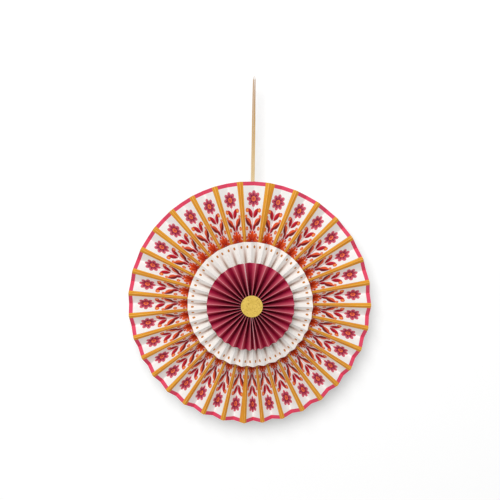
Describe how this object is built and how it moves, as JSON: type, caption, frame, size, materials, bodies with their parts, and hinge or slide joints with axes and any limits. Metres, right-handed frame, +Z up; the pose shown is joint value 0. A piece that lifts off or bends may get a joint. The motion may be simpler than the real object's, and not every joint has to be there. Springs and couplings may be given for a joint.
{
  "type": "paper fan medallion",
  "caption": "Hanging wall decoration of stacked pleated paper fans, a printed one behind a white one and a crimson one, with a gold card centre and a ribbon loop.",
  "frame": {"origin": "inside top of the ribbon loop, where it rests on a nail", "axes": "+Z up towards the nail's upper side, -Y out of the fan's printed front, +Y into the wall, +X to the right as seen from the front"},
  "size_m": [0.3999, 0.0632, 0.5711],
  "materials": {
    "printed_paper": "matte printed paper, pinkish white with crimson, red and gold print",
    "white_paper": "matte white paper with small gold dots along the rim",
    "crimson_paper": "matte crimson paper, paler along its folds",
    "grey_card": "plain uncoated card",
    "gold_card": "matte gold card",
    "satin_ribbon": "tan satin ribbon"
  },
  "bodies": {
    "root": {"large_fan_right_strip": "printed_paper", "large_fan_left_strip": "printed_paper", "middle_fan_right_strip": "white_paper", "middle_fan_left_strip": "white_paper", "small_fan_right_strip": "crimson_paper", "small_fan_left_strip": "crimson_paper", "back_card": "grey_card", "middle_hub_card": "grey_card", "small_hub_card": "grey_card", "gold_centre_card": "gold_card", "ribbon_loop": "satin_ribbon"}
  },
  "joints": []
}
